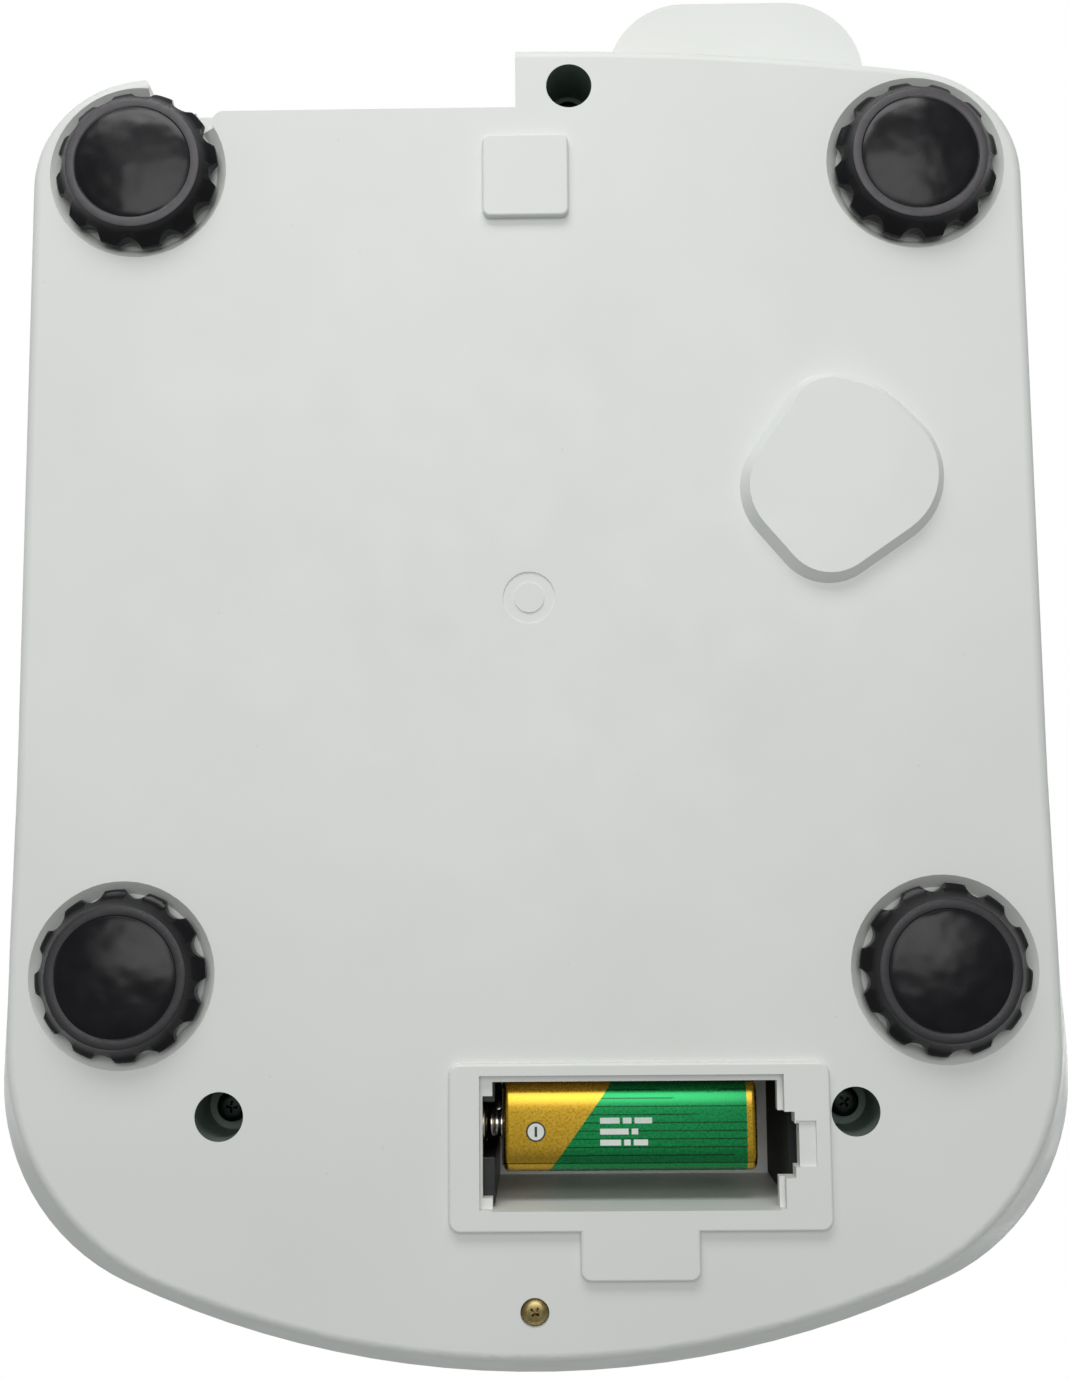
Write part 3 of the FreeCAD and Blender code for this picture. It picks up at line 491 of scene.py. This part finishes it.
def battery_jacket():
    """The drawn jacket: every side slightly crowned, long edges rounded wide, and the ends crimped over."""
    low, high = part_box("battery_jacket")
    middle, half = (low + high) / 2, (high - low) / 2
    only()
    bpy.ops.mesh.primitive_circle_add(vertices=128, radius=1.0, fill_type="NGON",
                                      rotation=(0, math.pi / 2, 0))
    body = bpy.context.object
    bpy.ops.object.transform_apply(rotation=True)
    for corner in body.data.vertices:
        length = math.hypot(corner.co.y, corner.co.z)
        across, up = (math.copysign(abs(v / length) ** (1 / 3), v) for v in (corner.co.y, corner.co.z))
        corner.co = (low.x, middle.y + half.y * across, middle.z + half.z * up)
    bpy.ops.object.mode_set(mode="EDIT")
    bpy.ops.mesh.select_all(action="SELECT")
    bpy.ops.mesh.extrude_region_move(TRANSFORM_OT_translate={"value": (high.x - low.x, 0, 0)})
    bpy.ops.mesh.select_all(action="SELECT")
    bpy.ops.mesh.normals_make_consistent(inside=False)
    bpy.ops.object.mode_set(mode="OBJECT")
    break_edges(body, 1.0 * MM, 5, 50)
    smooth(body, 35.0)
    finish(body, "jacket", JACKET, "battery", "battery_jacket", "battery_jacket")


def print_bar(x, y, length, width, z):
    """One thin bar of ink with round ends, on a face that looks down."""
    only()
    bpy.ops.mesh.primitive_cube_add(size=1.0, location=(x, y, z), scale=(length, width, 0.03 * MM))
    made = bpy.context.object
    bpy.ops.object.transform_apply(location=True, scale=True)
    return apply_modifier(made, "BEVEL", width=width * 0.2, segments=2, affect="EDGES")


def joined(parts):
    only(*parts)
    bpy.ops.object.join()
    return bpy.context.object


def battery_print():
    """Plain white bars where a jacket has its notices, and the minus mark beside the terminals."""
    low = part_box("battery_jacket")[0]
    face = low.z - 0.01 * MM
    bars = []
    rows = ((3.6, 1.6, 3.2), (5.2, 1.2), (3.8, 1.2, 2.6))
    for row, words in enumerate(rows):
        x = -12.1
        for word in words:
            y = -87.8 - 1.95 * row
            bars.append(print_bar((x - word / 2) * MM, y * MM, word * MM, 1.05 * MM, face))
            x -= word + 0.55
    finish(joined(bars), "jacket_bars", WHITE_INK, "battery", "battery_jacket")

    middle = Vector((-0.4 * MM, -89.7 * MM, face))
    layers = (("minus_rim", BLACK_INK, 1.8, 0.0), ("minus_disc", WHITE_INK, 1.5, 0.03))
    for name, ink, radius, lift in layers:
        skin = turned([(0.2, -lift), (radius * 0.6, -lift), (radius, -lift), (radius, 0.03 - lift)], 40)
        finish(place(skin, Matrix.Translation(middle)), name, ink, "battery", "battery_jacket")
    bar = print_bar(middle.x, middle.y, 0.45 * MM, 1.8 * MM, face - 0.06 * MM)
    finish(bar, "minus_bar", BLACK_INK, "battery", "battery_jacket")


def snap_centres():
    """Where the stud and the socket stand on the battery's top plate."""
    low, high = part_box("battery_terminals")
    jacket_low, jacket_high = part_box("battery_jacket")
    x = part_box("battery_top_plate")[1].x
    y = (jacket_low.y + jacket_high.y) / 2
    return Vector((x, y, low.z + 2.8 * MM)), Vector((x, y, high.z - 4.2 * MM))


def battery_terminals():
    """The pressed stud, and the socket whose crown is slit into six springs."""
    stud_at, socket_at = snap_centres()
    to_x = Matrix.Rotation(math.pi / 2, 4, "Y")
    stud = turned([(2.8, 0.0), (2.8, 0.35), (2.45, 0.6), (2.25, 1.0), (2.3, 1.8), (2.6, 2.5), (2.62, 2.9),
                   (2.35, 3.25), (1.9, SNAP_TALL), (0.5, SNAP_TALL)], 48)
    socket = turned([(4.2, 0.0), (4.2, 0.35), (3.85, 0.6), (3.8, 1.6), (3.95, 2.6), (4.2, 3.1),
                     (4.05, SNAP_TALL), (3.7, 3.35), (3.4, 2.7), (3.2, 1.2), (2.9, 0.6), (0.5, 0.6)], 48)
    slits = []
    for i in range(3):
        only()
        bpy.ops.mesh.primitive_cube_add(size=1.0, location=(0, 0, 3.0 * MM), rotation=(0, 0, math.pi * i / 3),
                                        scale=(10 * MM, 0.5 * MM, 3.2 * MM))
        slits.append(bpy.context.object)
    cutter = joined(slits)
    bpy.ops.object.transform_apply(location=True, rotation=True, scale=True)
    apply_modifier(socket, "BOOLEAN", operation="DIFFERENCE", object=cutter, solver="EXACT", use_self=True)
    bpy.data.objects.remove(cutter)
    low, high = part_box("battery_terminals")
    squat = Matrix.Scale((high.x - low.x) / (SNAP_TALL * MM), 4, (0, 0, 1))
    place(stud, Matrix.Translation(stud_at) @ to_x @ squat)
    place(socket, Matrix.Translation(socket_at) @ to_x @ squat)
    snaps = joined([stud, socket])
    finish(smooth(snaps, 40.0), "battery_snaps", NICKEL, "battery", "contact_metal", "battery_terminals")


def bay_contacts():
    """Two pressed caps that the battery's snaps push on to."""
    caps = []
    face_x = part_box("battery_contacts")[1].x
    for centre in snap_centres():
        cap = turned([(4.3, 0.0), (4.3, 1.1), (4.15, 1.5), (3.8, 1.7), (3.3, 1.65), (3.0, 1.1),
                      (0.5, 1.0)], 48)
        at = Vector((face_x, centre.y, centre.z))
        caps.append(place(cap, Matrix.Translation(at) @ Matrix.Rotation(-math.pi / 2, 4, "Y")))
    finish(smooth(joined(caps), 40.0), "contact_caps", NICKEL, "housing", "contact_metal", "battery_contacts")


# ---- screws ----
DEEP_BORE_R = 4.45                                   # millimetres, just past the walls of the deep bores


def screw(head_r, head, shank_r, length, pitch):
    """A cross-recessed pan-head screw about +Z, head's face at z = 0 and thread above it. Millimetres."""
    rings = [(0.3, 0.0), (head_r * 0.55, 0.03), (head_r * 0.8, 0.2), (head_r * 0.95, 0.5),
             (head_r, head * 0.6), (head_r, head), (shank_r, head)]
    height = head + pitch
    while height < head + length - 1.5 * pitch:
        rings += [(shank_r * 0.8, height), (shank_r, height + pitch * 0.45)]
        rings += [(shank_r, height + pitch * 0.55)]
        height += pitch
    rings += [(shank_r * 0.8, height), (shank_r * 0.45, head + length)]
    body = turned(rings, 32)
    arms = []
    for turn in (0.0, math.pi / 2):
        only()
        size = (head_r * 1.15 * MM, head_r * 0.26 * MM, head * 1.1 * MM)
        bpy.ops.mesh.primitive_cube_add(size=1.0, scale=size, rotation=(0, 0, turn))
        arm = bpy.context.object
        bpy.ops.object.transform_apply(rotation=True, scale=True)
        for corner in arm.data.vertices:
            if corner.co.z > 0:
                corner.co = Vector((corner.co.x * 0.35, corner.co.y * 0.35, corner.co.z))
        arms.append(arm)
    for arm in arms:
        apply_modifier(body, "BOOLEAN", operation="DIFFERENCE", object=arm, solver="EXACT")
        bpy.data.objects.remove(arm)
    return smooth(body, 30.0)


def deep_screw_spots():
    """Where the three deep bores and their screws are, in metres."""
    low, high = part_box("housing_screws")
    reach = 2.9 * MM
    return (low.x + reach, -85.9 * MM), (high.x - reach, low.y + reach), (-8.5 * MM, high.y - reach)


def paint_bore_shade():
    """Paints shade on the walls of the deep bores, where little light reaches them; the mouths keep the plain
    ABS.
    """
    shell = bpy.data.objects["base_shell_moulding"]
    shell.data.materials.append(PAINTED_BORE_SHADE)
    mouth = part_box("base_shell")[0].z + 1.0 * MM
    spots = deep_screw_spots()
    for face in shell.data.polygons:
        for x, y in spots:
            in_bore = math.hypot(face.center.x - x, face.center.y - y) < DEEP_BORE_R * MM
            if in_bore and face.center.z > mouth:
                # painted shade on a bore wall
                face.material_index = 1


def make_screws():
    """Each kind of screw is modelled once and copied to its places."""
    front = screw(2.45, 1.5, 1.15, 24.0, 1.1)
    low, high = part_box("front_screw")
    place(front, Matrix.Translation(((low.x + high.x) / 2, (low.y + high.y) / 2, low.z))
          @ Matrix.Rotation(math.radians(38), 4, "Z"))
    finish(front, "front_housing_screw", YELLOW_ZINC, "housing", "yellow_zinc", "front_screw")

    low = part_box("housing_screws")[0]
    kind = screw(2.9, 2.0, 1.45, 14.0, 1.2)
    places = [Matrix.Translation((x, y, low.z)) @ Matrix.Rotation(0.5 + x * 20, 4, "Z")
              for x, y in deep_screw_spots()]
    group(kind, places, "deep_housing_screws", BLACK_ZINC, "housing", "housing_screws")

    kind = screw(2.3, 1.5, 0.95, 4.6, 0.6)
    group(kind, [panel_matrix(x, t, -9.7) for x in (-39.5, 39.5) for t in (21.0, 47.0)],
          "small_board_screws", ZINC, "housing", "board_screws")

    flip = Matrix.Rotation(math.pi, 4, "X")
    for node, name, body, length in (("load_cell_base_screws", "cell_base_screws", "housing", 27.0),
                                     ("load_cell_carrier_screws", "cell_carrier_screws", "platform", 16.0)):
        low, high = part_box(node)
        ys = (low.y + 3.6 * MM, high.y - 3.6 * MM)
        group(screw(3.6, 2.6, 2.0, length, 0.7), [Matrix.Translation((0, y, high.z)) @ flip for y in ys],
              name, ZINC, body, node)


def group(kind, matrices, name, finish_material, body, node):
    """Copies one modelled fastener to its places, as one piece that replaces their CAD node."""
    made = joined([copied(kind, matrix) for matrix in matrices])
    bpy.data.objects.remove(kind)
    return finish(made, name, finish_material, body, slot_of(node), node)


def make_studs():
    """The foot's stud: a flat flange that the knob holds, and an M6 thread."""
    rings = [(0.3, 3.0), (4.7, 3.0), (5.0, 3.2), (5.0, 4.8), (4.8, 5.0), (3.0, 5.0), (3.0, 6.0)]
    for i in range(14):
        rings += [(2.5, 6.35 + i), (2.62, 6.55 + i), (3.0, 6.85 + i), (3.0, 7.0 + i)]
    rings += [(2.5, 20.3), (2.3, 20.5)]
    shape = turned(rings, 48)
    smooth(shape, 30.0)
    for where in KNOB_TURNS:
        low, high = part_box("foot_stud_" + where)
        stud = copied(shape, Matrix.Translation(((low.x + high.x) / 2, (low.y + high.y) / 2, 0)))
        finish(stud, "stud_" + where, ZINC, where + "_stud", "zinc_steel", "foot_stud_" + where)
    bpy.data.objects.remove(shape)


# ---- weighing pan ----
def weighing_pan():
    """A stainless sheet pressed into a shallow tray, rim down, with a shallow pressed field on top."""
    low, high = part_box("weighing_pan")
    only()
    middle = (low + high) / 2
    bpy.ops.mesh.primitive_plane_add(size=1.0, location=(middle.x, middle.y, low.z))
    pan = bpy.context.object
    pan.scale = (high.x - low.x, high.y - low.y, 1.0)
    bpy.ops.object.transform_apply(location=True, scale=True)
    bpy.ops.object.mode_set(mode="EDIT")
    bpy.ops.mesh.select_all(action="SELECT")
    bpy.ops.mesh.bevel(offset=22 * MM, segments=16, affect="VERTICES")
    bpy.ops.mesh.extrude_region_move(TRANSFORM_OT_translate={"value": (0, 0, high.z - low.z)})
    bpy.ops.mesh.select_all(action="SELECT")
    bpy.ops.mesh.normals_make_consistent(inside=False)
    bpy.ops.object.mode_set(mode="OBJECT")
    break_edges(pan, 2.2 * MM, 6, 50)
    select_faces(pan, lambda face: face.center.z < low.z + 1.0 * MM and face.normal.z < -0.3)
    bpy.ops.object.mode_set(mode="EDIT")
    bpy.ops.mesh.delete(type="FACE")
    bpy.ops.object.mode_set(mode="OBJECT")
    select_faces(pan, lambda face: face.normal.z > 0.999 and face.area > 0.02)
    bpy.ops.object.mode_set(mode="EDIT")
    bpy.ops.mesh.inset(thickness=7 * MM)
    bpy.ops.mesh.inset(thickness=0.7 * MM)
    bpy.ops.transform.translate(value=(0, 0, -0.35 * MM))
    bpy.ops.object.mode_set(mode="OBJECT")
    apply_modifier(pan, "SOLIDIFY", thickness=0.9 * MM, offset=-1.0)
    smooth(pan, 35.0)
    finish(pan, "pan_sheet", STEEL_PAN, "pan", "pan_steel", "weighing_pan")


def select_faces(obj, wanted):
    """Selects just the faces that pass a test."""
    only(obj)
    bpy.ops.object.mode_set(mode="EDIT")
    bpy.ops.mesh.select_mode(type="FACE")
    bpy.ops.mesh.select_all(action="DESELECT")
    bpy.ops.object.mode_set(mode="OBJECT")
    for face in obj.data.polygons:
        face.select = wanted(face)


# ---- display and keys ----
INK_THICK = 0.04 * MM


def flat_plate(width, depth, thick, corner, hole=None):
    """A thin plate with round corners, and a window through it if hole gives its size; top face at z = 0."""
    only()
    bpy.ops.mesh.primitive_plane_add(size=1.0)
    plate = bpy.context.object
    plate.scale = (width, depth, 1.0)
    bpy.ops.object.transform_apply(scale=True)
    bpy.ops.object.mode_set(mode="EDIT")
    bpy.ops.mesh.select_all(action="SELECT")
    bpy.ops.mesh.bevel(offset=corner, segments=8, affect="VERTICES")
    bpy.ops.object.mode_set(mode="OBJECT")
    if hole:
        select_faces(plate, lambda face: True)
        bpy.ops.object.mode_set(mode="EDIT")
        bpy.ops.mesh.inset(thickness=(depth - hole[1]) / 2)
        across = hole[0] / (width - (depth - hole[1]))
        bpy.ops.transform.resize(value=(across, 1.0, 1.0), center_override=(0, 0, 0))
        bpy.ops.mesh.delete(type="FACE")
        bpy.ops.object.mode_set(mode="OBJECT")
    apply_modifier(plate, "SOLIDIFY", thickness=thick, offset=-1.0)
    return plate


def display_window():
    """The clear window, and the dark border printed on its back."""
    low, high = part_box("display_window")
    width = high.x - low.x
    pane = flat_plate(width, 26.4 * MM, 1.38 * MM, 2.5 * MM)
    break_edges(pane, 0.25 * MM, 3, 60)
    place(pane, panel_matrix(0, 37.0, -0.2))
    finish(smooth(pane), "window_pane", WINDOW, "housing", "window_clear", "display_window")
    border = flat_plate(width - 0.4 * MM, 26.0 * MM, 0.06 * MM, 2.3 * MM, (60 * MM, 18.6 * MM))
    place(border, panel_matrix(0, 37.0, -1.62))
    finish(border, "window_border", BORDER_INK, "housing", "black_plastic")


def digit(character, x, t, n):
    """A nought or a point of the display, drawn as flat bars on the panel."""
    tall, wide, bar = 11.0, 6.0, 1.6
    bars = [(0, tall / 2, True), (wide / 2, tall / 4, False), (wide / 2, -tall / 4, False),
            (0, -tall / 2, True), (-wide / 2, -tall / 4, False), (-wide / 2, tall / 4, False)]
    made = []
    for dx, dt, level in bars if character == "0" else ():
        length = (wide if level else tall / 2) - 0.3
        only()
        bpy.ops.mesh.primitive_cylinder_add(vertices=4, radius=bar / math.sqrt(2) * MM, depth=0.04 * MM,
                                            rotation=(0, 0, 0 if level else math.pi / 2))
        part = bpy.context.object
        bpy.ops.object.transform_apply(rotation=True)
        along = 0 if level else 1
        for corner in part.data.vertices:
            if abs(corner.co[along]) > 0.1 * MM:
                corner.co[along] = math.copysign(length / 2 * MM, corner.co[along])
        made.append(place(part, panel_matrix(x + dx, t + dt, n)))
    if character == ".":
        made.append(place(turned([(0.1, 0.05), (0.85, 0.05), (0.85, 0.0), (0.1, 0.0)], 20),
                          panel_matrix(x, t - tall / 2, n)))
    return made


def display_digits():
    face = -2.57
    parts = []
    for character, x in (("0", 12.0), (".", 17.0), ("0", 22.0)):
        parts += digit(character, x, 37.0, face)
    finish(joined(parts), "display_figures", SEGMENT, "housing", "lcd_glass")


def key_print():
    """A plain white symbol on each key: power, zero, change and count."""
    for number, x in enumerate((-34.0, -14.0, 14.0, 34.0), 1):
        parts = []
        if number == 1:
            parts += ring_print(1.7, 0.22, gap=0.9)
            parts.append(ink_box(0, 1.4, 0.4, 1.7))
        elif number == 2:
            parts += ring_print(1.1, 0.22)
            parts += [ink_triangle(-2.6, 0.0, 0.9, 0.0), ink_triangle(2.6, 0.0, 0.9, math.pi)]
        elif number == 3:
            parts += [ink_box(0, 0.75, 3.0, 0.4), ink_box(0, -0.75, 3.0, 0.4)]
            parts += [ink_triangle(1.9, 0.75, 0.8, 0.0), ink_triangle(-1.9, -0.75, 0.8, math.pi)]
        else:
            parts += [ink_box(dx, dt, 0.75, 0.75) for dx in (-1.3, 0.0, 1.3) for dt in (-0.7, 0.7)]
        symbol = joined(parts)
        place(symbol, panel_matrix(x, 13.0, 1.0))
        finish(symbol, "key_%d_symbol" % number, WHITE_INK, "key_%d" % number, "key_plastic")


def ink_box(x, t, width, depth):
    """A flat rectangle of ink, in millimetres."""
    only()
    bpy.ops.mesh.primitive_cube_add(size=1.0, location=(x * MM, t * MM, 0),
                                    scale=(width * MM, depth * MM, INK_THICK))
    made = bpy.context.object
    bpy.ops.object.transform_apply(location=True, scale=True)
    return apply_modifier(made, "BEVEL", width=min(width, depth) * 0.2 * MM, segments=2)


def ink_triangle(x, t, r, turn):
    """A flat triangle of ink that points along its turn."""
    only()
    bpy.ops.mesh.primitive_cylinder_add(vertices=3, radius=r * MM, depth=INK_THICK,
                                        location=(x * MM, t * MM, 0), rotation=(0, 0, turn - math.pi / 2))
    made = bpy.context.object
    bpy.ops.object.transform_apply(location=True, rotation=True)
    return made


def ring_print(r, thick, gap=0.0):
    """A ring of ink, open at the top over the gap's angle in radians, as short straight lengths."""
    made = []
    count = 28
    for i in range(count):
        angle = math.pi / 2 + gap / 2 + (2 * math.pi - gap) * (i + 0.5) / count
        only()
        at = (r * math.cos(angle) * MM, r * math.sin(angle) * MM, 0)
        size = (2 * thick * MM, 2 * math.pi * r / count * 1.05 * MM, INK_THICK)
        bpy.ops.mesh.primitive_cube_add(size=1.0, location=at, scale=size, rotation=(0, 0, angle))
        made.append(bpy.context.object)
        bpy.ops.object.transform_apply(location=True, rotation=True, scale=True)
    return made


def level_vial():
    """The spirit in its cup, the bubble against the lid, and the ring that the bubble is brought into."""
    low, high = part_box("level_vial")
    middle = (low + high) / 2
    cup_low, cup_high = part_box("level_liquid")
    top = (cup_high.z - cup_low.z) / MM - 0.3
    spirit = turned([(0.3, 0.05), (6.2, 0.05), (6.36, 0.2), (6.36, top - 0.2), (6.2, top), (0.3, top)], 64)
    place(spirit, Matrix.Translation((middle.x, middle.y, cup_low.z)))
    finish(smooth(spirit, 40.0), "spirit", SPIRIT, "housing", "level_liquid", "level_liquid")
    bubble = turned([(0.2, 0.0), (1.9, 0.0), (1.85, 0.08), (1.6, 0.18), (1.1, 0.24), (0.2, 0.26)], 48)
    place(bubble, Matrix.Translation((middle.x + 0.4 * MM, middle.y - 0.3 * MM, cup_high.z - 0.28 * MM)))
    finish(smooth(bubble, 60.0), "bubble", AIR, "housing", "bubble_air", "level_bubble")
    only()
    bpy.ops.mesh.primitive_torus_add(major_radius=2.9 * MM, minor_radius=0.14 * MM, major_segments=64,
                                     minor_segments=8, location=(middle.x, middle.y, high.z - 0.12 * MM))
    ring = bpy.context.object
    bpy.ops.object.transform_apply(location=True)
    finish(smooth(ring, 60.0), "level_mark", BLACK_INK, "housing", "vial_clear")


def lights_and_camera():
    scene = bpy.context.scene
    camera = bpy.data.objects.new("camera", bpy.data.cameras.new("camera"))
    scene.collection.objects.link(camera)
    camera.location = Vector((-3.43, -39.58, -274.56)) * MM
    camera.rotation_euler = [math.radians(a) for a in (-173.774, -0.596, -179.521)]
    camera.data.sensor_width = 36.0
    camera.data.lens = 39.607
    camera.data.clip_start = 0.01
    scene.camera = camera

    world = bpy.data.worlds.new("studio")
    scene.world = world
    world.use_nodes = True
    tree = world.node_tree
    tree.nodes.clear()
    seen = add(tree, "LightPath").outputs["Is Camera Ray"]
    height = add(tree, "SeparateXYZ", {"Vector": add(tree, "TexCoord").outputs["Generated"]}).outputs["Z"]
    dome = add(tree, "MapRange", {"Value": height, "From Min": 0.0, "From Max": 0.3,
                                  "To Min": 0.24, "To Max": 0.6})
    ambient = add(tree, "Background", {"Color": (0.96, 1.0, 0.98, 1), "Strength": dome.outputs[0]})
    backdrop = add(tree, "Background", {"Color": (1, 1, 1, 1), "Strength": 1.0})
    mixed = add(tree, "MixShader", {0: seen, 1: ambient.outputs[0], 2: backdrop.outputs[0]})
    add(tree, "OutputWorld", {"Surface": mixed.outputs[0]})

    def softbox(name, at, aim, size, watts):
        light = bpy.data.lights.new(name, "AREA")
        light.shape = "RECTANGLE"
        light.size, light.size_y = size
        light.energy = watts
        lamp = bpy.data.objects.new(name, light)
        scene.collection.objects.link(lamp)
        lamp.location = at
        lamp.rotation_euler = (Vector(aim) - Vector(at)).to_track_quat("-Z", "Y").to_euler()
        lamp.visible_camera = False

    softbox("low rear softbox", (0.1, 0.68, -0.42), (0, 0, 0), (0.7, 0.3), 3.3)
    softbox("low softbox", (0.0, 0.25, -1.2), (0, 0, 0), (0.9, 0.8), 6.3)
    softbox("left softbox", (-0.55, -0.3, 1.15), (0, 0, 0.03), (0.5, 0.5), 2.2)
    softbox("right softbox", (0.55, -0.1, 1.15), (0, 0, 0.03), (0.5, 0.5), 1.7)
    softbox("top softbox", (0.0, 0.55, 1.1), (0, 0, 0.05), (1.4, 1.0), 6.0)
    scene.view_settings.view_transform = "Standard"


def floor():
    """A pale floor seen only from above: nothing under it is hidden or shaded by it."""
    only()
    bpy.ops.mesh.primitive_plane_add(size=6.0, location=(0, 0, -0.02 * MM))
    plane = bpy.context.object
    plane.name = "floor"
    made, tree, shader, place_socket = material("pale floor", Roughness=0.8)
    shade = ramp(tree, noise(tree, place_socket, 0.4), [(0.3, srgb("#EDEDEB")), (0.7, srgb("#F1F1EF"))])
    tree.links.new(shade, shader.inputs["Base Color"])
    below = add(tree, "NewGeometry").outputs["Backfacing"]
    see_through = add(tree, "BsdfTransparent").outputs[0]
    mixed = add(tree, "MixShader", {0: below, 1: shader.outputs[0], 2: see_through})
    tree.links.new(mixed.outputs[0], tree.nodes["Material Output"].inputs["Surface"])
    plane.data.materials.append(made)
    plane.visible_diffuse = False
    plane.visible_glossy = False
    plane.visible_transmission = False
    plane.visible_shadow = False


lights_and_camera()
floor()
for node, (made, bevel) in REFINED.items():
    refined(node, made, bevel * MM)
paint_bore_shade()
make_knobs()
make_studs()
make_screws()
battery_jacket()
battery_print()
battery_terminals()
bay_contacts()
weighing_pan()
display_window()
display_digits()
key_print()
level_vial()
for node, made in NODE_FINISH.items():
    nodes[node].data.materials.clear()
    nodes[node].data.materials.append(made)
